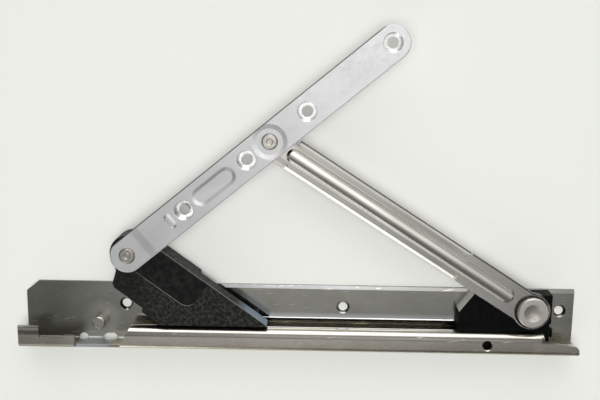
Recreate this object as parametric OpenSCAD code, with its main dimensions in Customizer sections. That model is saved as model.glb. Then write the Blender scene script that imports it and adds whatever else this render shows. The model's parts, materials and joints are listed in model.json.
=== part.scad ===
// Friction stay for a window: a track, a sliding shoe, a short arm and a sash arm.
// Millimetres. X runs along the track towards the fixed pivot, Y towards the side that the sash opens to,
// Z up.
// The origin is the centre of the track's underside. The stay is drawn partly open.

/* [Track] */
// Length of the wall and lip
track_l = 273; // [240:1:320]
// How much shorter the base is at each end
base_trim = 1.1; // [0:0.1:3]
// Depth of the base, from the wall's outer face to the back edge
base_d = 30.4; // [28:0.2:36]
// Thickness of the sheet
sheet = 1.5; // [1.2:0.1:2]
// Height of the lip's top above the underside
lip_h = 12.7; // [12:0.1:16]
// Width of the lip, from the wall's outer face
lip_w = 11.1; // [10:0.1:12]
// Depth of the lip's turned-down inner edge, from the lip's top
return_h = 4.8; // [4.6:0.1:6]
// Inside radius of the folds at the wall
fold_r = 0.8; // [0.4:0.1:1.2]
// Inside radius of the fold at the lip's inner edge
lip_fold_r = 3; // [1:0.1:3.4]
// Width of the rolled back edge
edge_roll_w = 1.8; // [0.8:0.1:3]
// Drop of the rolled back edge
edge_roll_h = 0.4; // [0.2:0.1:0.8]
// Corner cut at the left end of the base, along the track
corner_cut_l = 6; // [2:0.5:10]
// Corner cut at the left end of the base, across the track
corner_cut_w = 5; // [2:0.5:8]

/* [Track cut-outs] */
// Length of the notched tab at the left end of the lip
tab_l = 27.1; // [24:0.1:34]
// Length of the tab's first finger
finger_l = 10.1; // [6:0.1:12]
// Length of the notch after the first finger
notch_l = 12; // [8:0.1:13]
// Width of lip that is left in front of the notch
notch_web = 3.1; // [2:0.1:5]
// How far the second finger stops short of the lip's inner edge
finger_step = 4.5; // [1:0.1:6]
// Start of the full lip at the wall, from the left end
lip_start = 47.9; // [42:0.1:60]
// Run of the full lip's slanted left end
lip_slant = 6.6; // [2:0.1:10]
// Length of the narrow lip at the right end
narrow_l = 17.4; // [12:0.1:24]
// Width of the narrow lip where it begins
narrow_w = 7.2; // [5:0.1:9]
// How much the narrow lip loses towards its end
narrow_taper = 1.8; // [0:0.1:3]
// Fillet at the step into the narrow lip
step_r = 2.2; // [1:0.1:3]
// Round corner at the lip's right end
lip_corner_r = 3; // [1:0.1:4]
// Diameter of the first relief hole in the lower fold
relief_d = 5.4; // [4:0.1:7]
// Place of the first relief hole, from the left end
relief_x = 28.6; // [27:0.1:34]
// Distance from the first relief hole to the second
relief_pitch = 13.3; // [10:0.1:18]
// Straight length of the second relief hole
relief_slot = 2.4; // [0:0.1:5]
// Width of the slit between the relief holes
slit_w = 0.7; // [0.4:0.1:1.5]
// Diameter of the hole in the lip
lip_hole_d = 4.5; // [3:0.1:5.5]
// Edge chamfer of the hole in the lip
lip_hole_edge = 0.5; // [0.2:0.1:0.6]
// Place of the hole in the lip, from the right end
lip_hole_x = 45; // [30:0.5:55]
// Distance of the lip hole from the wall's outer face
lip_hole_y = 4.9; // [4:0.1:6]

/* [Mounting holes] */
// Distance between neighbouring mounting holes
hole_pitch = 107.4; // [90:0.2:112]
// Distance of the last hole from the right end
hole_end = 8; // [6:0.1:9]
// Distance of the holes from the back edge
hole_back = 10.9; // [9:0.1:13]
// Diameter of the mounting holes
hole_d = 4.5; // [3.5:0.1:5.5]
// Diameter of their countersinks
hole_sink_d = 6.6; // [5.6:0.1:9]
// Depth of their countersinks
hole_sink_h = 1; // [0.5:0.1:1.1]

/* [Locating stud] */
// Place of the stud, from the left end
stud_x = 38.3; // [36:0.1:42]
// Distance of the stud from the lip's inner edge, towards the back
stud_y = 0.6; // [0:0.1:2]
// Diameter of the stud
stud_d = 6.2; // [4:0.1:7]
// Diameter of its riveted tail
stud_tail_d = 3.2; // [2:0.1:4]
// Height of the stud above the base
stud_h = 7.5; // [4:0.1:8]
// Rounding of the stud's top edge
stud_round = 0.5; // [0.2:0.1:1]

/* [End block] */
// Length of the block
block_l = 45; // [40:0.5:52]
// Height of the block above the base
block_h = 8.5; // [8:0.1:10]
// Distance of the block's right end from the fixed pivot
block_end = 10.4; // [9:0.1:11.5]
// Corner cut on the block's left end, along the track
block_cut_l = 7; // [3:0.1:12]
// Corner cut on the block's left end, across the track
block_cut_w = 9.2; // [4:0.1:12]
// Width of the low ledge beside the lip
ledge_w = 4.4; // [2:0.1:6]
// Drop of the low ledge from the block's top
ledge_drop = 2.6; // [1:0.1:4]
// Length of the block's small foot
foot_l = 2.6; // [1:0.1:4]
// Width of the small foot
foot_w = 4.2; // [2:0.1:6]
// Height of the small foot
foot_h = 2.4; // [1:0.1:4]

/* [Linkage] */
// Distance of the fixed pivot from the right end of the track
pivot_end = 24.5; // [21:0.1:27]
// Distance of the fixed pivot from the back edge
pivot_back = 7.5; // [6:0.1:8.5]
// Distance between the short arm's pivots
arm_r = 150.3; // [146:0.1:158]
// Distance from the shoe pivot to the mid pivot on the sash arm
link_l = 87; // [82:0.1:90]
// Distance of the shoe pivot outside the back edge
shoe_out = 17.8; // [16:0.1:19]
// Angle between the sash arm and the track as drawn
open_deg = 39.7; // [30:0.1:45]

/* [Short arm] */
// Width of the short arm
arm_w = 15.6; // [14:0.1:17]
// Thickness of the short arm
arm_t = 2; // [1.6:0.1:2.6]
// Radius of the eye at the fixed pivot
eye_r = 9; // [8.6:0.1:9.8]
// Radius of the round end at the mid pivot
arm_end_r = 7.8; // [7:0.1:8.5]
// Width of the turned-down edges, seen from above
edge_w = 1.6; // [1:0.1:2]
// Slope of the turned-down edges
edge_deg = 30; // [20:1:50]
// Start of the turned-down edges, from the fixed pivot
edge_start = 41; // [38:0.5:50]
// End of the turned-down edges, from the mid pivot
edge_end = 12.2; // [10:0.1:20]
// Length of the relief notch at each end of a turned-down edge
edge_notch = 1.2; // [0.8:0.1:2]
// Depth of the relief notch, from the arm's side
edge_notch_w = 2.6; // [2.2:0.1:2.7]
// Width of the bead at its foot
bead_w = 7.2; // [6:0.1:8]
// Run of the bead's sloping walls
bead_wall = 1.2; // [0.6:0.1:1.6]
// Height of the bead above the arm
bead_h = 1.6; // [1:0.1:2]
// Radius of the bead's domed top
bead_dome_r = 7.5; // [6:0.1:12]
// Start of the bead, from the fixed pivot
bead_start = 11.3; // [10.5:0.1:20]
// End of the bead, from the mid pivot
bead_end = 9.8; // [9.6:0.1:20]

/* [Sash arm] */
// Width of the sash arm
sash_w = 16; // [15:0.1:17]
// Thickness of the sash arm
sash_t = 2.5; // [2:0.1:3]
// Distance from the shoe pivot to the end hole
sash_l = 159; // [150:0.5:170]
// Distance from the shoe pivot to the first hole
sash_hole_1 = 35.3; // [33:0.1:37]
// Distance from the shoe pivot to the second hole
sash_hole_2 = 73.2; // [69:0.1:73.6]
// Distance from the shoe pivot to the third hole
sash_hole_3 = 109.2; // [104:0.1:120]
// Diameter of the screw holes
sash_hole_d = 5; // [4:0.1:6]
// Diameter of their countersinks
sash_sink_d = 9; // [7:0.1:10]
// Depth of their countersinks
sash_sink_h = 2; // [1:0.1:2.2]
// Depth of the pressed seats round the two pivots
seat_drop = 0.35; // [0.2:0.05:0.6]
// Radius of the flat seat round the mid pivot
seat_r = 6.2; // [5:0.1:6.4]
// Run of the seat's sloping wall
seat_run = 2.1; // [1:0.1:2.2]
// How much wider the seat is on the underside
seat_under = 1.2; // [1:0.1:1.3]
// Distance from the shoe pivot to the joggle
joggle_x = 8.7; // [8:0.1:10]
// Run of the joggle
joggle_run = 4; // [2:0.1:5]
// Distance from the shoe pivot to the cross emboss
cross_x = 27; // [25:0.1:28]
// Length of the cross emboss, across the arm
cross_l = 7.6; // [5:0.1:10]
// Width of the cross emboss
cross_w = 3.4; // [2.4:0.1:4]
// Distance from the shoe pivot to the middle of the long recess
recess_x = 53.5; // [52:0.1:55]
// Length of the long recess
recess_l = 24; // [16:0.5:26]
// Width of the long recess
recess_w = 9; // [5:0.1:11]
// Depth of the emboss and the recess
press_h = 0.4; // [0.2:0.05:0.7]
// Run of the emboss's sloping walls
cross_run = 0.9; // [0.4:0.1:1.1]
// Run of the recess's sloping walls
recess_run = 1.6; // [0.4:0.1:2]

/* [Shoe] */
// Slope of the shoe's long edge against the track
wedge_deg = 36; // [34:0.5:38]
// Distance from the shoe pivot to the long edge
wedge_top = 10.4; // [10:0.1:11]
// Distance from the shoe pivot to the lower edge of the head
head_low = 18.4; // [17:0.1:19]
// Distance from the shoe pivot to the lower edge of the wedge
wedge_low = 20.3; // [19.5:0.1:22]
// Place along the slope where the wedge steps out from the head
wedge_step = 20.5; // [18:0.1:22]
// Run of that step
wedge_step_run = 1; // [0.5:0.1:2]
// Radius of the round head
head_r = 9.2; // [8.6:0.1:9.8]
// Place along the slope where the head's lower edge begins
head_low_x = 4; // [3:0.1:6]
// Corner cut at that place, along the slope
head_cut_l = 2; // [1:0.1:3]
// Corner cut at that place, across the slope
head_cut_w = 1.2; // [0.5:0.1:2]
// How far the head's side stands back at the strip
head_side = 0.3; // [0:0.1:1]
// How far the head's side stands back where it meets the round
head_neck = 2; // [1:0.1:3]
// Gap between the shoe's front face and the lip
shoe_gap = 1.5; // [0.6:0.1:2]
// Cut at the shoe's sharp tip, along the track
tip_cut = 1; // [0.5:0.1:3]
// Clearance under the shoe over the base
shoe_lift = 3.3; // [2:0.1:3.6]
// Length of the low skirt outside the track, from the shoe pivot
skirt_l = 32.6; // [28:0.1:36]
// Depth of the strip that is stepped down beside the head
strip_drop = 0.6; // [0.3:0.1:1]
// Distance from the shoe pivot to that strip
strip_x = 10.7; // [9.8:0.1:12]
// Length of the strip along the slope
strip_l = 12; // [8:0.5:15]
// Length of the hook under the lip
hook_l = 30; // [20:0.5:33]
// Distance from the shoe's tip to the hook
hook_tip = 5; // [4:0.1:9]
// Thickness of the hook's rib
hook_t = 2.5; // [1.5:0.1:3]
// Width of the runner on the base
runner_w = 4.4; // [3:0.1:6]
// Thickness of the plate let into the shoe
link_t = 2.5; // [1.5:0.1:3]
// Width of the rim beside the plate
link_rim = 0.8; // [0.5:0.1:1.5]
// Distance from the shoe pivot to the plate's lower edge
link_low = 5.4; // [5:0.1:7]
// Length of the plate, from the shoe pivot
link_len = 39; // [34:0.5:41]
// Round corner of the plate
link_corner = 5; // [2:0.5:6]

/* [Rivets and washers] */
// Diameter of the fixed rivet's head
head_d = 14.8; // [13.6:0.1:15.4]
// Height of the fixed rivet's head
head_h = 2.2; // [1.6:0.1:3]
// Edge chamfer of the fixed rivet's head
head_edge = 0.6; // [0.3:0.1:1]
// Diameter of the dish in the fixed rivet's head
dish_d = 8.8; // [6:0.1:10]
// Depth of the dish
dish_h = 0.9; // [0.5:0.1:1.2]
// Diameter of the fixed rivet's shank
shank_d = 8; // [7:0.1:8.6]
// Wall of the bush in the short arm's eye
bush_t = 1.5; // [1:0.1:2]
// Radius of the bush's flange
bush_r = 8.4; // [8:0.1:8.6]
// Diameter of the small rivets in the sash arm
rivet_top_d = 7; // [6.6:0.1:7.6]
// Diameter of the small rivets' shanks
rivet_d = 6; // [5:0.1:6.2]
// Diameter of the small rivets' lower heads
rivet_head_d = 10.4; // [8.5:0.1:11]
// Height of the small rivets' lower heads
rivet_head_h = 1.4; // [1:0.1:1.8]
// Diameter of the dimple in the small rivets
dimple_d = 3; // [2:0.1:4]
// How far the small rivets stand proud of the sash arm
rivet_proud = 0.25; // [0.1:0.05:0.5]
// Outside diameter of the washers between the arms
washer_d = 14.4; // [12:0.1:15]
// Thickness of the friction washer and of the bush's flange
washer_t = 0.5; // [0.4:0.05:0.8]

/* [Fits] */
// Axial play at each moving face
play = 0.1; // [0.05:0.01:0.2]
// Radial clearance of a turning fit
run_fit = 0.05; // [0.02:0.01:0.1]
// Radial clearance of a fixed fit
set_fit = 0.02; // [0.01:0.01:0.05]
// Room between the bead and the sash arm over it
bead_gap = 0.3; // [0.2:0.05:0.6]
// Room between the shoe's hook and the track
hook_gap = 0.5; // [0.3:0.05:0.8]
// Room between the shoe and the stud that it passes over
stud_gap = 0.6; // [0.4:0.05:0.8]
// Room between the end block and the folded lip
block_gap = 0.2; // [0.1:0.05:0.4]
// Room between the shoe's runner and the base
runner_gap = 0.2; // [0.1:0.05:0.3]

/* [Hidden] */
$fn = 96;
// Overlap that makes a cut pass cleanly through a face
over = 1;
// Longer than any piece, for half-space cuts
far = 400;

front_y = -base_d / 2;
back_y = base_d / 2;
left_x = -track_l / 2;
right_x = track_l / 2;
wall_in_y = front_y + sheet;
lip_in_y = front_y + lip_w;
return_in_y = lip_in_y - sheet;
lip_under_z = lip_h - sheet;
return_low_z = lip_h - return_h;
fold_out_r = fold_r + sheet;
lip_fold_out = lip_fold_r + sheet;
lip_hole_mid = right_x - lip_hole_x;
mount_y = back_y - hole_back;
mount_end_x = right_x - hole_end;
relief_1 = left_x + relief_x;
relief_2 = relief_1 + relief_pitch;
stud_at = [left_x + stud_x, lip_in_y + stud_y];

// Heights of the stack at the pivots
block_top = sheet + block_h;
arm_z = block_top + washer_t + play;
arm_top = arm_z + arm_t;
strip_z = arm_top + bead_h + bead_gap;
seat_z = strip_z - seat_drop;
spacer_t = seat_z - play - arm_top;
shoe_top = arm_top;
shoe_low_z = sheet + shoe_lift;
head_z = arm_top + washer_t + play;

// Pivots: the arms close a triangle with the line that the shoe pivot runs along
pivot = [right_x - pivot_end, back_y - pivot_back];
shoe_y = back_y + shoe_out;
rise = shoe_y - pivot.y;
arm_deg = asin((rise + link_l * sin(open_deg)) / arm_r);
mid = [pivot.x - arm_r * cos(arm_deg), pivot.y + arm_r * sin(arm_deg)];
shoe = [mid.x - link_l * cos(open_deg), shoe_y];

// Shoe: its front face runs beside the lip, and its tip is where the long edge meets that face
shoe_front_y = lip_in_y + shoe_gap;
tip_run = (wedge_top * cos(wedge_deg) + shoe.y - shoe_front_y) / sin(wedge_deg);
tip_x = shoe.x + wedge_top * sin(wedge_deg) + tip_run * cos(wedge_deg) - tip_cut;
hook_end_x = tip_x - hook_tip;
hook_top_z = lip_under_z - hook_gap;
web_top_z = return_low_z - hook_gap;
runner_z = sheet + runner_gap;
rib_y = wall_in_y + hook_gap;
stud_pass_z = sheet + stud_h + stud_gap;
stud_pass_y = stud_at.y + stud_d / 2 + stud_gap;
stud_pass_x = hook_end_x - hook_l;

// End block
block_right = pivot.x + block_end;
block_left = block_right - block_l;

// Short arm's edges: where the bend begins on the underside
bend_y = arm_w / 2 - edge_w - arm_t * tan(edge_deg / 2);

sash_holes = [sash_hole_1, sash_hole_2, sash_hole_3, sash_l];

steel = [0.66, 0.65, 0.62];
satin = [0.74, 0.74, 0.73];
rivet_grey = [0.68, 0.64, 0.6];
black = [0.13, 0.13, 0.12];

// Quarter of a folded sheet in 2D, centred on the fold, in the quadrant that the signs give
module fold_quarter(inner, thick, sx, sy) {
    outer = inner + thick;
    intersection() {
        difference() {
            circle(outer);
            circle(inner);
        }
        translate([sx > 0 ? 0 : -outer, sy > 0 ? 0 : -outer]) square(outer);
    }
}

// Rectangle in 2D from its two corners
module span(x0, y0, x1, y1) {
    translate([x0, y0]) square([x1 - x0, y1 - y0]);
}

// Box from its two corners
module block(from, to) {
    translate(from) cube(to - from);
}

// Lays a profile drawn in Y and Z along X
module along_x(x0, x1) {
    translate([x0, 0, 0]) rotate([90, 0, 90]) linear_extrude(x1 - x0) children();
}

// Short arm's own frame: X from the fixed pivot towards the mid pivot
module on_short_arm() {
    translate([pivot.x, pivot.y, 0]) rotate([0, 0, 180 - arm_deg]) children();
}

// Sash arm's own frame: X from the shoe pivot towards the end hole
module on_sash_arm() {
    translate([shoe.x, shoe.y, 0]) rotate([0, 0, open_deg]) children();
}

// Shoe's slanted frame: X down the slope from the shoe pivot, Y towards the long edge
module on_shoe() {
    translate([shoe.x, shoe.y, 0]) rotate([0, 0, -wedge_deg]) children();
}

// Countersunk screw hole through a sheet whose top is at height top
module screw_hole(hole, sink, sink_h, thick, top) {
    translate([0, 0, top - thick - over]) cylinder(d = hole, h = thick + 2 * over);
    translate([0, 0, top - sink_h]) cylinder(d1 = hole, d2 = sink, h = sink_h);
    translate([0, 0, top]) cylinder(d = sink, h = over);
}

// Base and front wall with their fold, as a profile in Y and Z
module base_profile() {
    span(front_y + fold_out_r, 0, back_y, sheet);
    translate([front_y + fold_out_r, fold_out_r]) fold_quarter(fold_r, sheet, -1, -1);
    span(front_y, fold_out_r, wall_in_y, lip_h - fold_out_r);
}

// Lip and the fold that joins it to the wall
module lip_profile() {
    translate([front_y + fold_out_r, lip_h - fold_out_r]) fold_quarter(fold_r, sheet, -1, 1);
    span(front_y + fold_out_r, lip_under_z, lip_in_y - lip_fold_out, lip_h);
}

// Turned-down inner edge of the lip
module return_profile() {
    translate([lip_in_y - lip_fold_out, lip_h - lip_fold_out]) fold_quarter(lip_fold_r, sheet, 1, 1);
    span(return_in_y, return_low_z, lip_in_y, lip_h - lip_fold_out);
}

// Plan of the gap in the lip between the tab and the full lip's slanted end
module lip_gap_plan() {
    full_x = left_x + lip_start;
    polygon([
        [left_x + tab_l, front_y - over], [full_x, front_y - over],
        [full_x + lip_slant, lip_in_y + over], [left_x + tab_l, lip_in_y + over]
    ]);
}

// Everything that is cut from the flat lip at its left end
module left_lip_cuts() {
    lip_low = lip_h - fold_out_r;
    notch_x = left_x + finger_l;
    second_x = notch_x + notch_l;
    block([notch_x, front_y + notch_web + fold_out_r, lip_low], [second_x, back_y, lip_h + over]);
    block([second_x, lip_in_y - finger_step, lip_low], [left_x + tab_l + over, back_y, lip_h + over]);
    translate([0, 0, lip_low]) linear_extrude(fold_out_r + over) lip_gap_plan();
}

// Narrow lip at the right end, with a filleted step and a round corner
module right_lip_plan() {
    step_x = right_x - narrow_l;
    start_y = front_y + narrow_w;
    end_y = start_y - narrow_taper;
    difference() {
        polygon([
            [step_x - over, front_y + fold_out_r], [right_x, front_y + fold_out_r],
            [right_x, end_y - lip_corner_r], [right_x - lip_corner_r, end_y],
            [step_x + step_r, start_y], [step_x, start_y + step_r], [step_x - over, start_y + step_r]
        ]);
        translate([step_x + step_r, start_y + step_r]) circle(step_r);
    }
    intersection() {
        translate([right_x - lip_corner_r, end_y - lip_corner_r]) circle(lip_corner_r);
        span(step_x, front_y + fold_out_r, right_x, end_y);
    }
}

// Relief holes in the lower fold, and the slit between them
module fold_reliefs() {
    fold_mid = [front_y + sheet / 2, sheet / 2];
    module across_fold(x) {
        translate([x, fold_mid.x, fold_mid.y]) rotate([45, 0, 0])
            translate([0, 0, -fold_out_r * 2]) children();
    }
    across_fold(relief_1) cylinder(d = relief_d, h = fold_out_r * 5);
    for (end = [-1, 1])
        across_fold(relief_2 + end * relief_slot / 2) cylinder(d = relief_d, h = fold_out_r * 5);
    across_fold(relief_2) translate([-relief_slot / 2, -relief_d / 2, 0])
        cube([relief_slot, relief_d, fold_out_r * 5]);
    across_fold(relief_1) translate([0, -slit_w / 2, 0]) cube([relief_pitch, slit_w, fold_out_r * 5]);
}

// Straight cuts that shape the ends and edges of the base
module base_cuts() {
    for (side = [-1, 1])
        block([side > 0 ? right_x - base_trim : left_x - over, wall_in_y + fold_r, -over],
              [side > 0 ? right_x + over : left_x + base_trim, back_y + over, sheet + over]);
    base_left = left_x + base_trim;
    translate([0, 0, -over]) linear_extrude(sheet + 2 * over)
        polygon([
            [base_left - over, back_y - corner_cut_w - over * corner_cut_w / corner_cut_l],
            [base_left + corner_cut_l + over * corner_cut_l / corner_cut_w, back_y + over],
            [base_left - over, back_y + over]
        ]);
    along_x(left_x - over, right_x + over)
        polygon([
            [back_y - edge_roll_w, sheet], [back_y - edge_roll_w, sheet + over],
            [back_y + over, sheet + over], [back_y + over, sheet - edge_roll_h], [back_y, sheet - edge_roll_h]
        ]);
}

// Folded stainless track
module track() {
    full_x = left_x + lip_start;
    step_x = right_x - narrow_l;
    color(steel) difference() {
        union() {
            along_x(left_x, right_x) base_profile();
            difference() {
                union() {
                    along_x(left_x, step_x) lip_profile();
                    along_x(left_x, left_x + tab_l)
                        span(lip_in_y - lip_fold_out - over, lip_under_z, lip_in_y, lip_h);
                }
                left_lip_cuts();
            }
            along_x(step_x, right_x) intersection() {
                lip_profile();
                span(front_y, lip_h - fold_out_r, front_y + fold_out_r, lip_h);
            }
            translate([0, 0, lip_under_z]) linear_extrude(sheet) right_lip_plan();
            difference() {
                along_x(full_x, step_x) return_profile();
                linear_extrude(far) lip_gap_plan();
            }
        }
        base_cuts();
        fold_reliefs();
        for (i = [0 : 2])
            translate([mount_end_x - i * hole_pitch, mount_y, 0])
                screw_hole(hole_d, hole_sink_d, hole_sink_h, sheet, sheet);
        translate([lip_hole_mid, front_y + lip_hole_y, 0])
            screw_hole(lip_hole_d, lip_hole_d + 2 * lip_hole_edge, lip_hole_edge, sheet, lip_h);
        translate([stud_at.x, stud_at.y, -over])
            cylinder(d = stud_tail_d + 2 * set_fit, h = sheet + 2 * over);
        translate([pivot.x, pivot.y, -over]) cylinder(d = shank_d + 2 * set_fit, h = sheet + 2 * over);
    }
}

// Locating stud, with a thinner tail riveted flush into the base
module locating_stud() {
    color(steel) translate([stud_at.x, stud_at.y, 0]) {
        cylinder(d = stud_tail_d, h = sheet);
        translate([0, 0, sheet]) cylinder(d = stud_d, h = stud_h - stud_round);
        translate([0, 0, sheet + stud_h - stud_round])
            cylinder(d1 = stud_d, d2 = stud_d - 2 * stud_round, h = stud_round);
    }
}

// Section of the end block: body, low ledge, and a foot that fills the space under the lip
module block_profile() {
    ledge_y = lip_in_y + block_gap;
    span(ledge_y + ledge_w, sheet, back_y - block_gap, block_top);
    span(ledge_y, sheet, ledge_y + ledge_w, block_top - ledge_drop);
    span(wall_in_y + fold_r, sheet, ledge_y, return_low_z - block_gap);
    span(wall_in_y + block_gap, sheet + fold_r, return_in_y - block_gap, lip_under_z - lip_fold_r);
}

// Moulded end block under the fixed pivot
module end_block() {
    color(black) {
        difference() {
            along_x(block_left, block_right) block_profile();
            translate([0, 0, -over]) linear_extrude(far)
                polygon([
                    [block_left - over, back_y - block_cut_w], [block_left, back_y - block_cut_w],
                    [block_left + block_cut_l, back_y], [block_left - over, back_y]
                ]);
            block([right_x - narrow_l - block_gap, front_y, return_low_z - block_gap],
                  [right_x, lip_in_y + block_gap, lip_h]);
            translate([pivot.x, pivot.y, 0]) cylinder(d = shank_d + 2 * set_fit, h = far);
        }
        block([block_right, lip_in_y - foot_w - block_gap, sheet],
              [block_right + foot_l, lip_in_y - block_gap, sheet + foot_h]);
    }
}

// Fixed pivot rivet with a dished head
module pivot_rivet() {
    head_top = head_z + head_h;
    dish_r = (dish_d * dish_d / 4 + dish_h * dish_h) / (2 * dish_h);
    color(rivet_grey) translate([pivot.x, pivot.y, 0]) difference() {
        rotate_extrude()
            polygon([
                [0, 0], [shank_d / 2, 0], [shank_d / 2, head_z], [head_d / 2, head_z],
                [head_d / 2, head_top - head_edge], [head_d / 2 - head_edge, head_top], [0, head_top]
            ]);
        translate([0, 0, head_top - dish_h + dish_r]) sphere(dish_r);
    }
}

// Plain washer standing on height z
module washer(at, z, thick, bore) {
    translate([at.x, at.y, z]) difference() {
        cylinder(d = washer_d, h = thick);
        translate([0, 0, -over]) cylinder(d = bore, h = thick + 2 * over);
    }
}

module friction_washer() {
    color(black) washer(pivot, block_top, washer_t, shank_d + 2 * run_fit);
}

// Plan of the short arm's flat plate, with notches at the ends of its turned-down edges
module short_arm_plan() {
    edge_len = arm_r - edge_start - edge_end;
    difference() {
        union() {
            circle(eye_r);
            translate([arm_r, 0]) circle(arm_end_r);
            span(0, -arm_w / 2, arm_r, arm_w / 2);
        }
        for (side = [0, 1])
            mirror([0, side]) {
                span(edge_start, bend_y, edge_start + edge_len, arm_w);
                span(edge_start - edge_notch, arm_w / 2 - edge_notch_w, edge_start + over, arm_w);
                span(edge_start + edge_len - over, arm_w / 2 - edge_notch_w,
                     edge_start + edge_len + edge_notch, arm_w);
            }
    }
}

// Turned-down edge of the short arm, as a profile across it
module short_arm_edge() {
    top = [arm_w / 2 - edge_w, arm_t];
    tip = [arm_w / 2, arm_t - edge_w * tan(edge_deg)];
    tip_under = tip - arm_t * [sin(edge_deg), cos(edge_deg)];
    polygon([[bend_y, arm_t], top, tip, tip_under, [bend_y, 0]]);
}

// Raised bead with sloping walls, round ends and a domed top, drawn inside its outer skin by inset.
// It stands on the arm's underside, and its walls go on down to there at their own slope.
module bead_body(inset) {
    start = bead_start + bead_w / 2;
    finish = arm_r - bead_end - bead_w / 2;
    slope = bead_wall / bead_h;
    foot = bead_w / 2 + arm_t * slope - inset;
    top = bead_w / 2 - bead_wall - inset;
    tall = bead_h + arm_t;
    intersection() {
        translate([0, 0, arm_z]) {
            for (x = [start, finish])
                translate([x, 0, 0]) cylinder(r1 = foot, r2 = top, h = tall);
            along_x(start, finish) polygon([[-foot, 0], [foot, 0], [top, tall], [-top, tall]]);
        }
        translate([0, 0, arm_top + bead_h - bead_dome_r]) rotate([0, 90, 0])
            cylinder(r = bead_dome_r - inset, h = arm_r);
    }
}

// Pressed short arm
module short_arm() {
    edge_len = arm_r - edge_start - edge_end;
    color(steel) on_short_arm() difference() {
        union() {
            translate([0, 0, arm_z]) linear_extrude(arm_t) short_arm_plan();
            for (side = [0, 1])
                mirror([0, side, 0]) translate([0, 0, arm_z])
                    along_x(edge_start, edge_start + edge_len) short_arm_edge();
            bead_body(0);
        }
        intersection() {
            bead_body(arm_t);
            block([0, -arm_w, arm_z - over], [arm_r, arm_w, far]);
        }
        cylinder(d = shank_d + 2 * bush_t + 2 * set_fit, h = far);
        translate([arm_r, 0, 0]) cylinder(d = rivet_d + 2 * run_fit, h = far);
    }
}

// Flanged bush pressed into the short arm's eye
module pivot_bush() {
    color(black) translate([pivot.x, pivot.y, 0]) difference() {
        union() {
            translate([0, 0, arm_z]) cylinder(d = shank_d + 2 * bush_t, h = arm_t);
            translate([0, 0, arm_top]) cylinder(r = bush_r, h = washer_t);
        }
        cylinder(d = shank_d + 2 * run_fit, h = far);
    }
}

module mid_washer() {
    color(black) washer(mid, arm_top, spacer_t, rivet_d + 2 * run_fit);
}

// Outline of the sash arm
module sash_plan() {
    circle(sash_w / 2);
    translate([sash_l, 0]) circle(sash_w / 2);
    span(0, -sash_w / 2, sash_l, sash_w / 2);
}

// Side profile of the sash arm, with the joggle near the shoe pivot
module sash_profile() {
    polygon([
        [-sash_w, seat_z], [joggle_x, seat_z], [joggle_x + joggle_run, strip_z],
        [sash_l + sash_w, strip_z], [sash_l + sash_w, strip_z + sash_t],
        [joggle_x + joggle_run, strip_z + sash_t], [joggle_x, seat_z + sash_t], [-sash_w, seat_z + sash_t]
    ]);
}

// Round-ended bar lying along X with sloping walls, length by width at half its height
module flared_bar(length, width, height, flare) {
    straight = length - width;
    low = width / 2 - flare;
    high = width / 2 + flare;
    for (x = [-straight / 2, straight / 2])
        translate([x, 0, 0]) cylinder(r1 = low, r2 = high, h = height);
    along_x(-straight / 2, straight / 2)
        polygon([[-low, 0], [low, 0], [high, height], [-high, height]]);
}

// Pressed sash arm
module sash_arm() {
    strip_top = strip_z + sash_t;
    under_r = seat_r + seat_under;
    color(satin) on_sash_arm() difference() {
        union() {
            intersection() {
                linear_extrude(far) sash_plan();
                union() {
                    rotate([90, 0, 0]) translate([0, 0, -sash_w]) linear_extrude(2 * sash_w) sash_profile();
                    translate([link_l, 0, seat_z])
                        cylinder(r1 = under_r, r2 = under_r + seat_run, h = seat_drop);
                }
            }
            translate([cross_x, 0, strip_top - press_h]) rotate([0, 0, 90])
                flared_bar(cross_l, cross_w, 2 * press_h, -cross_run);
        }
        translate([link_l, 0, seat_z + sash_t])
            cylinder(r1 = seat_r, r2 = seat_r + seat_run, h = seat_drop);
        translate([link_l, 0, strip_top]) cylinder(r = seat_r + seat_run, h = over);
        translate([recess_x, 0, strip_top - press_h])
            flared_bar(recess_l, recess_w, 2 * press_h, recess_run);
        for (x = sash_holes)
            translate([x, 0, 0]) screw_hole(sash_hole_d, sash_sink_d, sash_sink_h, sash_t, strip_top);
        for (x = [0, link_l])
            translate([x, 0, 0]) cylinder(d = rivet_top_d + 2 * set_fit, h = far);
    }
}

// Small rivet, flush in the sash arm, whose lower head lies with its top at height under
module small_rivet(at, under) {
    top = seat_z + sash_t + rivet_proud;
    low = under - rivet_head_h;
    edge = rivet_proud;
    translate([at.x, at.y, 0]) rotate_extrude()
        polygon([
            [0, low], [rivet_head_d / 2 - edge, low], [rivet_head_d / 2, low + edge],
            [rivet_head_d / 2, under], [rivet_d / 2, under], [rivet_d / 2, seat_z],
            [rivet_top_d / 2, seat_z], [rivet_top_d / 2, top - edge], [rivet_top_d / 2 - edge, top],
            [dimple_d / 2, top], [dimple_d / 2 - edge, top - edge], [0, top - edge]
        ]);
}

module mid_rivet() {
    color(rivet_grey) small_rivet(mid, arm_z - play);
}

module shoe_rivet() {
    color(rivet_grey) small_rivet(shoe, shoe_low_z - play);
}

// Plan of the shoe in its slanted frame
module shoe_plan() {
    circle(head_r);
    polygon([
        [0, wedge_top], [far, wedge_top], [far, -wedge_low],
        [wedge_step + wedge_step_run, -wedge_low], [wedge_step, -head_low], [head_low_x, -head_low],
        [head_low_x - head_cut_l, head_cut_w - head_low], [-head_side, -strip_x], [-head_neck, -head_r],
        [-head_r * cos(30), 0], [-head_r * sin(30), head_r * cos(30)]
    ]);
}

// Plate's outline in the slanted frame, grown all round by grow
module link_plan(grow) {
    top = wedge_top - link_rim + grow;
    low = -link_low - grow;
    corner = link_corner + grow;
    end = link_len + grow;
    circle(head_r - link_rim + grow);
    span(0, low, end - corner, top);
    span(0, low + corner, end, top);
    translate([end - corner, low + corner]) circle(corner);
}

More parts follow.
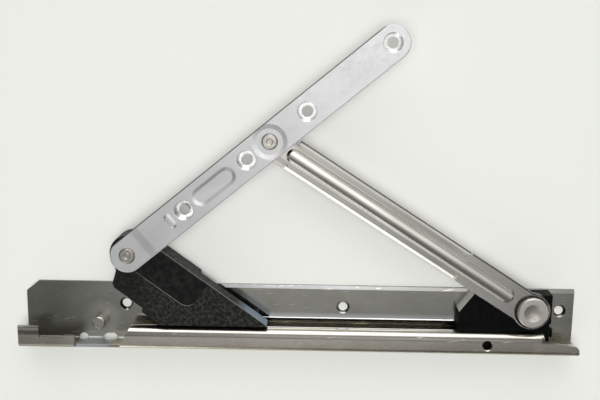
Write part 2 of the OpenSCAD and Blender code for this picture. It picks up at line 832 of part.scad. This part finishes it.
// Keeps what lies behind the shoe's front face and short of its tip
module shoe_limits(z0, z1) {
    block([shoe.x - far, shoe_front_y, z0], [tip_x, shoe.y + far, z1]);
}

// Moulded shoe: a wedge with a skirt outside the track, a runner on the base and a hook under the lip
module shoe_body() {
    skirt_x = shoe.x + skirt_l;
    runner_y = shoe_front_y + runner_w;
    color(black) difference() {
        union() {
            intersection() {
                on_shoe() translate([0, 0, shoe_low_z]) linear_extrude(shoe_top - shoe_low_z) shoe_plan();
                shoe_limits(0, far);
            }
            intersection() {
                on_shoe() translate([0, 0, sheet - hook_gap])
                    linear_extrude(shoe_lift + hook_gap + over) shoe_plan();
                block([shoe.x - far, back_y + hook_gap, 0], [skirt_x, shoe.y + far, shoe_low_z]);
            }
            intersection() {
                on_shoe() linear_extrude(far) shoe_plan();
                block([stud_pass_x, shoe_front_y, runner_z], [hook_end_x, runner_y, shoe_low_z]);
            }
            block([stud_pass_x, rib_y, runner_z], [hook_end_x, shoe_front_y + over, web_top_z]);
            block([stud_pass_x, rib_y, runner_z], [hook_end_x, rib_y + hook_t, hook_top_z]);
        }
        block([shoe.x - far, -far, 0], [stud_pass_x, stud_pass_y, stud_pass_z]);
        on_shoe() translate([0, 0, shoe_top - link_t]) linear_extrude(far) link_plan(set_fit);
        on_shoe() translate([-far, -far, shoe_top - strip_drop]) cube([far + strip_l, far - strip_x, far]);
        translate([shoe.x, shoe.y, 0]) cylinder(d = rivet_d + 4 * run_fit, h = far);
        translate([shoe.x, shoe.y, -over]) cylinder(d = rivet_head_d + 2 * hook_gap, h = shoe_low_z + over);
    }
}

// Black plate let into the shoe
module shoe_link() {
    color(black) difference() {
        on_shoe() translate([0, 0, shoe_top - link_t]) linear_extrude(link_t) link_plan(0);
        translate([shoe.x, shoe.y, 0]) cylinder(d = rivet_d + 2 * run_fit, h = far);
    }
}

module shoe_washer() {
    color(black) washer(shoe, shoe_top, spacer_t, rivet_d + 2 * run_fit);
}

track();
locating_stud();
end_block();
pivot_rivet();
friction_washer();
short_arm();
pivot_bush();
mid_washer();
sash_arm();
mid_rivet();
shoe_rivet();
shoe_body();
shoe_link();
shoe_washer();
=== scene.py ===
import json
import math

import bpy
from mathutils import Matrix, Vector


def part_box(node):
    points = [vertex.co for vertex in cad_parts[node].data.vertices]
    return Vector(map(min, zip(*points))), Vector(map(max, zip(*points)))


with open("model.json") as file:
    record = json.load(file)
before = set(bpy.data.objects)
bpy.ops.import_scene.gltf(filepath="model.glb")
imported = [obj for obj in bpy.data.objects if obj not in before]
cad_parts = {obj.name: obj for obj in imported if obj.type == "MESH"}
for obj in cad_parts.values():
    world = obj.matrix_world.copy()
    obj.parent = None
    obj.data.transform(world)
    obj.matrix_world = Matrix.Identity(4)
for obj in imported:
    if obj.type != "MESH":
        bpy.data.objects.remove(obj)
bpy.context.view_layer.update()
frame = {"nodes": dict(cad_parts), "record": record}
nodes = frame["nodes"]
record = frame["record"]
mounts = {mount["name"]: mount for mount in record["mounts"]}
joints = {joint["name"]: joint for joint in record["behaviour"]["joints"]}
MM = 0.001


def mm(*lengths):
    """Lengths in millimetres, as metres."""
    return tuple(length * MM for length in lengths)


def plan(place):
    """X and Y of a place."""
    return Vector(place[:2])


def heading(start, end):
    """Direction in the plan from one place to another, as an angle."""
    way = end - start
    return math.atan2(way.y, way.x)


def along(angle, place):
    """X of a place in coordinates that are turned with an arm."""
    return place.x * math.cos(angle) + place.y * math.sin(angle)


def across(angle, place):
    """Y of a place in coordinates that are turned with an arm."""
    return place.y * math.cos(angle) - place.x * math.sin(angle)


def screw_pair(name, pitch, angle):
    """Plan places of a mount's two screw holes, a pitch apart in one direction."""
    mount = mounts[name]
    step = Vector((math.cos(angle), math.sin(angle))) * mount["dims"][pitch] * MM / 2
    middle = plan(mount["pos_m"])
    return [middle - step, middle + step]


# Pivots, and the directions of the two arms at rest
FIXED_PIVOT = plan(joints["short_arm_swing"]["pos_m"])
MID_PIVOT = plan(joints["sash_arm_turn"]["pos_m"])
SHOE_PIVOT = plan(joints["shoe_turn"]["pos_m"])
ARM_ANGLE = heading(MID_PIVOT, FIXED_PIVOT)
SASH_ANGLE = heading(SHOE_PIVOT, MID_PIVOT)
# Screw holes; the track's two pairs share the middle hole
TRACK_HOLES = (
    screw_pair("track_screws_left", "spacing_x_mm", 0.0)
    + screw_pair("track_screws_right", "spacing_x_mm", 0.0)[1:])
SASH_HOLES = (
    screw_pair("sash_screws_lower", "pcd_mm", SASH_ANGLE)
    + screw_pair("sash_screws_upper", "pcd_mm", SASH_ANGLE))
# Middle of the locating stud
stud_low, stud_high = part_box("locating_stud")
STUD = (plan(stud_low) + plan(stud_high)) / 2

# Half widths of the two arms
ARM_HALF = 7.8 * MM
SASH_HALF = 8.0 * MM
# Distances from the short arm's axis over which its flats begin, and then end
ARM_FLAT = mm(3.8, 4.1, 6.1, 6.3)
# Distances from the fixed pivot between which painted shade grows in on the short arm's flats
ARM_SHADE_FROM, ARM_SHADE_BY = mm(40.0, 52.0)

# Zones along the track (X), across it (Y) and up it (Z). Of two numbers, a mask changes between them;
# of four, it rises between the first two and falls between the last two.
LEFT_END_X = mm(-118.0, -85.0)
RIGHT_END_X = mm(116.0, 120.0)
LIP_RIGHT_X = mm(0.0, 80.0)
BACK_LEFT_X = mm(-82.0, -78.0)
BACK_RIGHT_X = mm(20.0, 75.0)
CUT_AWAY_X = mm(-109.5, -109.0, -95.0, -92.0)
SHOE_RUN_X = mm(-80.0, -70.0, 95.0, 100.0)
LEFT_ROUGH_X = mm(-105.0, -85.0)
RIGHT_ROUGH_X = mm(113.0, 120.0)
LIP_Y = mm(-14.6, -7.5)
BACK_EDGE_Y = mm(13.2, 13.5)
BEND_OUTER_Y = mm(-8.85, -8.2, -6.6, -6.0)
BEND_INNER_Y = mm(-5.1, -4.85, -4.5, -4.35)
CUT_AWAY_Y = mm(-15.15, -15.0, -13.8, -12.8)
SHOE_RUN_Y = mm(-4.45, -4.3, -0.8, 1.5)
LIP_Z = mm(5.0, 8.0)
LIP_ROUGH_Z = mm(8.0, 12.4)
# Right end of the part, where the fixed rivet is
FIXED_END_X = mm(90.0, 95.0)
# Ends of the shoe along X: its head, and the stretch of its side that gets a painted sheen
SHOE_HEAD_X = mm(-80.0, -70.0)
SHOE_SHEEN_X = mm(-31.0, -25.0)

# Ways that the end block's slanted face and the shoe's lit side look; both get a painted highlight, as do
# the top edges that face that side
END_FACE = (-0.796, 0.606, 0.0)
LIT_SIDE = (0.55, 0.83, 0.0)

# Ranges of noise: nearly all of it, its patches and its streaks
NOISE = (0.3, 0.7)
PATCHY = (0.35, 0.7)
STREAKY = (0.35, 0.65)
RISE = (0.0, 1.0)
FALL = (1.0, 0.0)


class Look:
    """A material under construction: its node tree, its shader and a few short ways to add nodes."""

    def __init__(self, name, colour, roughness, metallic, sheen=0.5):
        self.material = bpy.data.materials.new(name)
        self.material.use_nodes = True
        self.tree = self.material.node_tree
        self.shader = self.tree.nodes["Principled BSDF"]
        self.shader.inputs["Base Color"].default_value = (*colour, 1.0)
        self.shader.inputs["Roughness"].default_value = roughness
        self.shader.inputs["Metallic"].default_value = metallic
        self.shader.inputs["Specular IOR Level"].default_value = sheen

    def add(self, kind):
        return self.tree.nodes.new(kind)

    def link(self, source, target):
        self.tree.links.new(source, target)

    def place(self, turn=0.0, stretch=(1.0, 1.0, 1.0)):
        """Coordinates of the CAD frame in metres, turned about Z and then stretched."""
        coordinate = self.add("ShaderNodeTexCoord")
        turned = self.add("ShaderNodeMapping")
        turned.inputs["Rotation"].default_value = (0.0, 0.0, -turn)
        scaled = self.add("ShaderNodeMapping")
        scaled.inputs["Scale"].default_value = stretch
        self.link(coordinate.outputs["Object"], turned.inputs["Vector"])
        self.link(turned.outputs["Vector"], scaled.inputs["Vector"])
        return scaled.outputs["Vector"]

    def axes(self, turn=0.0):
        """X, Y and Z of the CAD frame, turned about Z, by name."""
        node = self.add("ShaderNodeSeparateXYZ")
        self.link(self.place(turn), node.inputs["Vector"])
        return node.outputs

    def noise(self, place, detail, rough):
        texture = self.add("ShaderNodeTexNoise")
        texture.inputs["Scale"].default_value = 1.0
        texture.inputs["Detail"].default_value = detail
        texture.inputs["Roughness"].default_value = rough
        self.link(place, texture.inputs["Vector"])
        return texture.outputs["Fac"]

    def spread(self, value, span, levels):
        """Maps a value from a span to two levels, held at the ends."""
        node = self.add("ShaderNodeMapRange")
        node.inputs["From Min"].default_value, node.inputs["From Max"].default_value = span
        node.inputs["To Min"].default_value, node.inputs["To Max"].default_value = levels
        self.link(value, node.inputs["Value"])
        return node.outputs["Result"]

    def band(self, value, zone, level=1.0):
        """Mask that rises over the first two values of a zone and falls over the last two."""
        return self.times(
            self.spread(value, zone[:2], RISE),
            self.spread(value, zone[2:], (level, 0.0)))

    def join(self, operation, values):
        """Several values joined by one operation."""
        total = values[0]
        for value in values[1:]:
            node = self.add("ShaderNodeMath")
            node.operation = operation
            self.link(total, node.inputs[0])
            self.link(value, node.inputs[1])
            total = node.outputs["Value"]
        return total

    def plus(self, *values):
        return self.join("ADD", values)

    def times(self, *values):
        return self.join("MULTIPLY", values)

    def mix(self, factor, first, second):
        """Mixes two colours; either may be three numbers or another node's output."""
        node = self.add("ShaderNodeMix")
        node.data_type = "RGBA"
        self.link(factor, node.inputs["Factor"])
        for name, colour in (("A", first), ("B", second)):
            socket = [s for s in node.inputs if s.name == name and s.type == "RGBA"][0]
            if isinstance(colour, tuple):
                socket.default_value = (*colour, 1.0)
            else:
                self.link(colour, socket)
        return [s for s in node.outputs if s.type == "RGBA"][0]

    def nearest(self, centres):
        """Distance in the plan from the nearest of several places."""
        flat = self.place(stretch=(1.0, 1.0, 0.0))
        distances = []
        for centre in centres:
            away = self.add("ShaderNodeVectorMath")
            away.operation = "DISTANCE"
            self.link(flat, away.inputs[0])
            away.inputs[1].default_value = (*centre, 0.0)
            distances.append(away.outputs["Value"])
        return self.join("MINIMUM", distances)

    def toward(self, normal, side):
        """How far a normal looks towards one side, up to 1."""
        node = self.add("ShaderNodeVectorMath")
        node.operation = "DOT_PRODUCT"
        node.inputs[1].default_value = side
        self.link(normal, node.inputs[0])
        return node.outputs["Value"]

    def facing(self, side):
        """How far the surface looks towards one side of the piece, up to 1."""
        return self.toward(self.add("ShaderNodeTexCoord").outputs["Normal"], side)

    def far_edge(self, turn, middle, half, width):
        """Mask of a thin line along the far side of an arm that lies at an angle in the plan."""
        line = across(turn, middle) + half - width
        return self.spread(self.axes(turn)["Y"], (line - 0.1 * MM, line + 0.1 * MM), (0.0, 0.85))

    def round_edges(self, radius):
        """Normal that is rounded near the edges of the piece."""
        node = self.add("ShaderNodeBevel")
        node.samples = 6
        node.inputs["Radius"].default_value = radius
        return node.outputs["Normal"]

    def painted_edge_highlight(self, side, radius):
        """Mask of the top edges that look towards one side of the piece, for a painted highlight."""
        local = self.add("ShaderNodeVectorTransform")
        local.vector_type = "NORMAL"
        local.convert_from = "WORLD"
        local.convert_to = "OBJECT"
        self.link(self.round_edges(radius), local.inputs["Vector"])
        parts = self.add("ShaderNodeSeparateXYZ")
        self.link(local.outputs["Vector"], parts.inputs["Vector"])
        leaning = self.spread(self.toward(local.outputs["Vector"], side), (0.15, 0.35), RISE)
        upward = self.spread(parts.outputs["Z"], (0.3, 0.5), RISE)
        return self.times(leaning, upward)

    def bump(self, height, depth, strength, normal=None):
        node = self.add("ShaderNodeBump")
        if normal is not None:
            self.link(normal, node.inputs["Normal"])
        node.inputs["Distance"].default_value = depth
        node.inputs["Strength"].default_value = strength
        self.link(height, node.inputs["Height"])
        self.link(node.outputs["Normal"], self.shader.inputs["Normal"])

    def colour(self, source):
        self.link(source, self.shader.inputs["Base Color"])

    def roughness(self, source):
        self.link(source, self.shader.inputs["Roughness"])


def sheet_colour(look, spot, streaks):
    """Colour of the track's sheet: the base, and the lip, which is paler towards its inner edge."""
    blotches = look.noise(look.place(stretch=(60.0, 90.0, 90.0)), 3.0, 0.55)
    raised = look.spread(spot["Z"], LIP_Z, RISE)
    inward = look.spread(spot["Y"], LIP_Y, RISE)
    lip_clean = look.mix(inward, (0.78, 0.71, 0.58), (1.0, 0.965, 0.86))
    lip_dull = look.mix(inward, (0.66, 0.59, 0.47), (0.89, 0.845, 0.73))
    clean = look.mix(raised, (0.54, 0.535, 0.48), lip_clean)
    dull = look.mix(raised, (0.46, 0.455, 0.40), lip_dull)
    tinted = look.mix(look.spread(blotches, PATCHY, RISE), clean, dull)
    brushed = look.mix(look.spread(streaks, STREAKY, (0.0, 0.35)), tinted, (0.42, 0.41, 0.38))
    # Back edge with painted light: a bluish painted reflection in the middle, and painted shade, nearly
    # black, at both ends
    shaded = look.plus(
        look.spread(spot["X"], BACK_LEFT_X, FALL),
        look.spread(spot["X"], BACK_RIGHT_X, RISE))
    edge = look.mix(shaded, (0.30, 0.32, 0.35), (0.03, 0.03, 0.03))
    edged = look.mix(look.spread(spot["Y"], BACK_EDGE_Y, (0.0, 0.55)), brushed, edge)
    # Painted shade: darker lines on both sides of the highlight along the lip's bend, which narrow the
    # highlight
    bend_shade_lines = look.plus(look.band(spot["Y"], BEND_OUTER_Y, 0.9), look.band(spot["Y"], BEND_INNER_Y, 0.6))
    bend_shaded = look.mix(look.times(bend_shade_lines, raised), edged, (0.13, 0.12, 0.11))
    # Darker towards both ends, and on the right half of the lip
    ends_and_lip_darker = look.plus(
        look.spread(spot["X"], LEFT_END_X, (0.62, 0.0)),
        look.spread(spot["X"], RIGHT_END_X, (0.0, 0.2)),
        look.times(raised, look.spread(spot["X"], LIP_RIGHT_X, (0.0, 0.27))))
    return look.mix(ends_and_lip_darker, bend_shaded, (0.12, 0.12, 0.105))


def track_steel():
    """Bright cold-rolled sheet, polished where the shoe slides and duller at the ends and on the lip."""
    look = Look("bright_stainless", (0.52, 0.51, 0.48), 0.18, 1.0)
    spot = look.axes()
    streaks = look.noise(look.place(stretch=(40.0, 1500.0, 1500.0)), 4.0, 0.7)
    scratches = look.noise(look.place(0.12, (110.0, 1300.0, 1300.0)), 2.0, 0.5)
    sheet = sheet_colour(look, spot, streaks)
    # Painted shade: dark rims round the track's holes
    hole_shade = look.spread(look.nearest(TRACK_HOLES), mm(2.7, 3.0), (0.85, 0.0))
    hole_shaded = look.mix(hole_shade, sheet, (0.05, 0.045, 0.035))
    # Painted reflection: the fold at the cut-away end is pale and bluish
    fold = look.times(look.band(spot["Y"], CUT_AWAY_Y, 0.7), look.band(spot["X"], CUT_AWAY_X))
    painted_sheen = look.mix(fold, hole_shaded, (0.78, 0.86, 0.92))
    polish = look.times(look.band(spot["X"], SHOE_RUN_X), look.band(spot["Y"], SHOE_RUN_Y))
    slid = look.mix(look.spread(polish, RISE, (0.0, 0.85)), painted_sheen, (0.95, 0.95, 0.94))
    look.colour(look.mix(look.spread(scratches, (0.66, 0.72), (0.0, 0.6)), slid, (0.86, 0.85, 0.81)))
    rough = look.plus(
        look.spread(spot["X"], LEFT_ROUGH_X, (0.18, 0.0)),
        look.spread(spot["X"], RIGHT_ROUGH_X, (0.0, 0.12)),
        look.spread(look.nearest([STUD]), mm(5.0, 10.0), (0.22, 0.0)),
        look.spread(spot["Z"], LIP_ROUGH_Z, (0.0, 0.12)),
        look.spread(streaks, NOISE, (0.12, 0.21)))
    look.roughness(look.times(rough, look.spread(polish, RISE, (1.0, 0.35))))
    look.bump(streaks, 0.003 * MM, 0.5, look.round_edges(0.2 * MM))
    return look.material


def arm_steel():
    """Rolled sheet of the short arm, brushed along its length, with painted shade on the flats beside the
    bead.
    """
    look = Look("rolled_stainless", (0.64, 0.63, 0.60), 0.24, 1.0)
    spot = look.axes(ARM_ANGLE)
    streaks = look.noise(look.place(ARM_ANGLE, (30.0, 1700.0, 1700.0)), 4.0, 0.7)
    blotches = look.noise(look.place(ARM_ANGLE, (50.0, 130.0, 130.0)), 3.0, 0.5)
    tinted = look.mix(look.spread(blotches, PATCHY, RISE), (0.74, 0.72, 0.665), (0.63, 0.60, 0.545))
    brushed = look.mix(look.spread(streaks, STREAKY, (0.0, 0.4)), tinted, (0.50, 0.49, 0.46))
    pivot = along(ARM_ANGLE, FIXED_PIVOT)
    axis = across(ARM_ANGLE, FIXED_PIVOT)
    # Painted shade on the flats beside the bead, growing in away from the fixed pivot
    flats = look.plus(
        look.band(spot["Y"], [axis + away for away in ARM_FLAT]),
        look.band(spot["Y"], [axis - away for away in reversed(ARM_FLAT)]))
    beyond = look.spread(spot["X"], (pivot - ARM_SHADE_BY, pivot - ARM_SHADE_FROM), (0.6, 0.0))
    flats_painted_shade = look.mix(look.times(flats, beyond), brushed, (0.36, 0.35, 0.33))
    rim = look.far_edge(ARM_ANGLE, FIXED_PIVOT, ARM_HALF, 0.6 * MM)
    look.colour(look.mix(rim, flats_painted_shade, (0.02, 0.02, 0.02)))
    look.roughness(look.spread(streaks, NOISE, (0.18, 0.30)))
    look.bump(streaks, 0.01 * MM, 0.6, look.round_edges(0.35 * MM))
    return look.material


def satin_steel():
    """Tumbled strip of the sash arm: pale and soft, with countersinks painted paler as a highlight and dark
    rings round the rivets.
    """
    look = Look("satin_stainless", (0.84, 0.84, 0.84), 0.42, 1.0)
    grain = look.noise(look.place(SASH_ANGLE, (700.0, 1500.0, 1500.0)), 3.0, 0.6)
    blotches = look.noise(look.place(SASH_ANGLE, (45.0, 110.0, 110.0)), 3.0, 0.5)
    hole = look.nearest(SASH_HOLES)
    rivet = look.nearest([SHOE_PIVOT, MID_PIVOT])
    tinted = look.mix(look.spread(blotches, PATCHY, RISE), (0.90, 0.90, 0.90), (0.81, 0.81, 0.815))
    # Darker rings round the rivet heads
    rivet_ringed = look.mix(look.spread(rivet, mm(3.6, 4.1), (0.75, 0.0)), tinted, (0.16, 0.15, 0.14))
    # Painted highlight: the countersinks are paler; they are also smoother, below
    countersink_highlight = look.mix(look.spread(hole, mm(4.5, 4.9), FALL), rivet_ringed, (0.90, 0.90, 0.89))
    rim = look.far_edge(SASH_ANGLE, SHOE_PIVOT, SASH_HALF, 0.4 * MM)
    look.colour(look.mix(rim, countersink_highlight, (0.04, 0.04, 0.04)))
    rough = look.spread(grain, NOISE, (0.38, 0.50))
    look.roughness(look.times(rough, look.spread(hole, mm(4.4, 4.9), (0.6, 1.0))))
    look.bump(grain, 0.01 * MM, 0.5, look.round_edges(0.6 * MM))
    return look.material


def rivet_steel():
    """Turned and hammered rivet heads with a warm tint; the fixed one is duller, with a paler ring."""
    look = Look("rivet_steel", (0.62, 0.57, 0.51), 0.28, 1.0)
    spot = look.axes()
    dents = look.noise(look.place(stretch=(600.0, 600.0, 600.0)), 4.0, 0.65)
    spotted = look.mix(look.spread(dents, STREAKY, RISE), (0.67, 0.64, 0.58), (0.55, 0.52, 0.46))
    ring = look.times(
        look.spread(look.nearest([FIXED_PIVOT]), mm(3.0, 4.6), (0.0, 0.6)),
        look.spread(spot["X"], FIXED_END_X, RISE))
    look.colour(look.mix(ring, spotted, (0.82, 0.80, 0.74)))
    look.roughness(look.plus(
        look.spread(spot["X"], FIXED_END_X, (0.0, 0.2)),
        look.spread(dents, NOISE, (0.2, 0.34))))
    look.bump(dents, 0.015 * MM, 0.6, look.round_edges(0.35 * MM))
    return look.material


def black_moulding(name, dark, light, edge_highlight, sheen):
    """Glass-filled nylon: dull black with a fine mottle, and a painted highlight on the edges that face one
    side.

    Returns the look and its colour, which the caller goes on with.
    """
    look = Look(name, dark, 0.5, 0.0, sheen)
    mottle = look.noise(look.place(stretch=(650.0, 650.0, 650.0)), 5.0, 0.65)
    body = look.mix(look.spread(mottle, (0.4, 0.68), RISE), dark, light)
    look.roughness(look.spread(mottle, NOISE, (0.62, 0.42)))
    look.bump(mottle, 0.04 * MM, 0.5)
    # Painted highlight on the top edges that face the lit side
    return look, look.mix(look.painted_edge_highlight(LIT_SIDE, 0.5 * MM), body, edge_highlight)


def shoe_black():
    """Moulded shoe, darker at its head, with a blue-grey painted sheen on its side near the end that meets
    the end block.
    """
    look, body = black_moulding(
        "black_moulding", (0.003, 0.0035, 0.003), (0.040, 0.040, 0.034), (0.30, 0.30, 0.28), 0.22)
    spot = look.axes()
    head = look.mix(look.spread(spot["X"], SHOE_HEAD_X, (0.55, 0.0)), body, (0.003, 0.003, 0.003))
    # Painted sheen: blue-grey on the side that faces the lit side, near the end block
    painted_sheen = look.times(
        look.spread(look.facing(LIT_SIDE), (0.9, 0.97), RISE),
        look.spread(spot["X"], SHOE_SHEEN_X, (0.0, 0.9)))
    look.colour(look.mix(painted_sheen, head, (0.26, 0.31, 0.40)))
    return look.material


def end_black():
    """Moulded end block, whose slanted end face has a painted highlight."""
    look, body = black_moulding(
        "end_black", (0.002, 0.0025, 0.0022), (0.005, 0.006, 0.0055), (0.01, 0.01, 0.01), 0.06)
    # Painted highlight: the slanted end face is pale
    painted_sheen = look.spread(look.facing(END_FACE), (0.93, 0.98), RISE)
    look.colour(look.mix(painted_sheen, body, (0.62, 0.62, 0.60)))
    return look.material


def black_plate():
    """Blacked steel plate in the shoe, with rubbed spots."""
    look = Look("blacked_plate", (0.012, 0.012, 0.012), 0.45, 0.0, 0.18)
    mottle = look.noise(look.place(stretch=(350.0, 350.0, 350.0)), 5.0, 0.65)
    spots = look.spread(mottle, (0.42, 0.7), RISE)
    look.colour(look.mix(spots, (0.003, 0.003, 0.003), (0.017, 0.017, 0.015)))
    look.roughness(look.spread(mottle, NOISE, (0.58, 0.40)))
    look.bump(mottle, 0.03 * MM, 0.5)
    return look.material


def floor_paint():
    """Pale table top under the stay."""
    return Look("table", (0.80, 0.815, 0.775), 0.6, 0.0, 0.2).material


LOOKS = {
    "bright_stainless": track_steel(),
    "rolled_stainless": arm_steel(),
    "satin_stainless": satin_steel(),
    "rivet_steel": rivet_steel(),
    "black_moulding": shoe_black(),
    "blacked_plate": black_plate(),
}
END_BLACK = end_black()

for row in record["subparts"]:
    part = nodes[row["node"]]
    part.data.materials.clear()
    part.data.materials.append(END_BLACK if row["node"] == "end_block" else LOOKS[row["material_slot"]])

# Table, just under the part
TABLE_SIZE = 4.0
TABLE_GAP = 0.1 * MM
bpy.ops.mesh.primitive_plane_add(size=TABLE_SIZE, location=(0.0, 0.0, -TABLE_GAP))
floor = bpy.context.object
floor.name = "table_top"
floor.data.materials.append(floor_paint())

# Room: dim walls and six soft patches of light. Each has a stretch of the directions, a middle, and the
# brightness at angles in degrees from the middle; a stretch under one widens the patch along that axis.
PATCHES = (
    # Ceiling light straight above
    ((1.0, 1.0, 1.0), (-0.04, 0.0, 1.0), (
        (90.0, 0.20), (50.0, 0.11), (34.0, 0.10), (28.0, 0.125), (25.0, 0.20), (22.0, 0.33), (19.0, 0.43),
        (15.5, 0.50), (8.0, 0.95), (0.0, 1.15),
    )),
    # Ceiling light above the far end of the sash arm
    ((1.0, 1.0, 1.0), (0.18, 0.08, 0.98), (
        (90.0, 0.0), (20.0, 0.0), (14.0, 0.45), (8.0, 1.05), (0.0, 1.5),
    )),
    # Wide bright strip low behind the camera
    ((0.8, 1.0, 1.0), (0.0, 0.906, 0.423), (
        (90.0, 0.0), (30.0, 0.0), (24.0, 0.8), (17.0, 1.8), (0.0, 1.8),
    )),
    # Narrow glow at the camera
    ((0.5, 1.0, 1.0), (0.0, 0.36, 0.93), (
        (90.0, 0.0), (9.0, 0.0), (6.0, 1.2), (4.0, 2.4), (0.0, 2.4),
    )),
    # Soft glow at the back right
    ((1.0, 1.0, 1.0), (0.57, 0.54, 0.62), (
        (90.0, 0.0), (26.0, 0.0), (20.0, 0.3), (14.0, 0.7), (0.0, 0.7),
    )),
    # Tall window low in front, to the left
    ((1.6, 1.0, 0.8), (-0.36, -0.82, 0.38), (
        (90.0, 0.0), (24.0, 0.0), (18.0, 0.7), (12.0, 1.8), (0.0, 1.8),
    )),
)
world = bpy.data.worlds.new("room")
bpy.context.scene.world = world
world.use_nodes = True
room = world.node_tree
direction = room.nodes.new("ShaderNodeTexCoord")


def patch(stretch, middle, levels):
    """Soft patch of light in the room: brightness by the angle from its middle."""
    drawn = room.nodes.new("ShaderNodeMapping")
    drawn.inputs["Scale"].default_value = stretch
    room.links.new(direction.outputs["Generated"], drawn.inputs["Vector"])
    unit = room.nodes.new("ShaderNodeVectorMath")
    unit.operation = "NORMALIZE"
    room.links.new(drawn.outputs["Vector"], unit.inputs[0])
    toward = room.nodes.new("ShaderNodeVectorMath")
    toward.operation = "DOT_PRODUCT"
    toward.inputs[1].default_value = (Vector(middle) * Vector(stretch)).normalized()
    room.links.new(unit.outputs["Vector"], toward.inputs[0])
    glow = room.nodes.new("ShaderNodeValToRGB")
    glow.color_ramp.interpolation = "LINEAR"
    positions = [math.cos(math.radians(angle)) for angle, level in levels]
    stops = glow.color_ramp.elements
    for position in positions[1:-1]:
        stops.new(position)
    for stop, position, (angle, level) in zip(stops, positions, levels):
        stop.position = position
        stop.color = (level, level, level, 1.0)
    room.links.new(toward.outputs["Value"], glow.inputs["Fac"])
    return glow.outputs["Color"]


light = patch(*PATCHES[0])
for more in PATCHES[1:]:
    both = room.nodes.new("ShaderNodeMix")
    both.data_type = "RGBA"
    both.blend_type = "ADD"
    both.inputs["Factor"].default_value = 1.0
    colours = [s for s in both.inputs if s.type == "RGBA"]
    room.links.new(light, colours[0])
    room.links.new(patch(*more), colours[1])
    light = [s for s in both.outputs if s.type == "RGBA"][0]
room.links.new(light, room.nodes["Background"].inputs["Color"])

# Table lamp, which lights the table and the black pieces but isn't mirrored in the metal
LAMP_PLACE = Vector((0.0, 0.10, 1.3))
LAMP_AIM = Vector((0.02, 0.0, 0.0))
lamp = bpy.data.lights.new("table_lamp", "AREA")
lamp.shape = "RECTANGLE"
lamp.size = 0.9
lamp.size_y = 0.7
lamp.energy = 9.0
lamp.color = (1.0, 0.995, 0.97)
table_lamp = bpy.data.objects.new("table_lamp", lamp)
bpy.context.scene.collection.objects.link(table_lamp)
table_lamp.location = LAMP_PLACE
table_lamp.rotation_euler = (LAMP_AIM - LAMP_PLACE).to_track_quat("-Z", "Y").to_euler()
table_lamp.visible_glossy = False

# Camera, as found from the photo's holes and pivots: nearly straight down, from a little behind
CAMERA_PLACE = Vector((0.012115, 0.139306, 0.376))
CAMERA_TILT = math.radians(-10.0)
CAMERA_ROLL = math.radians(1.07)
lens = bpy.data.cameras.new("camera")
lens.sensor_width = 36.0
lens.lens = 47.4
lens.shift_x = -0.05
lens.shift_y = -0.05
lens.clip_start = 0.01
lens.clip_end = 20.0
camera = bpy.data.objects.new("camera", lens)
bpy.context.scene.collection.objects.link(camera)
camera.matrix_world = (
    Matrix.Translation(CAMERA_PLACE)
    @ Matrix.Rotation(CAMERA_ROLL, 4, "Z")
    @ Matrix.Rotation(CAMERA_TILT, 4, "X"))
bpy.context.scene.camera = camera
bpy.context.scene.view_settings.view_transform = "Standard"
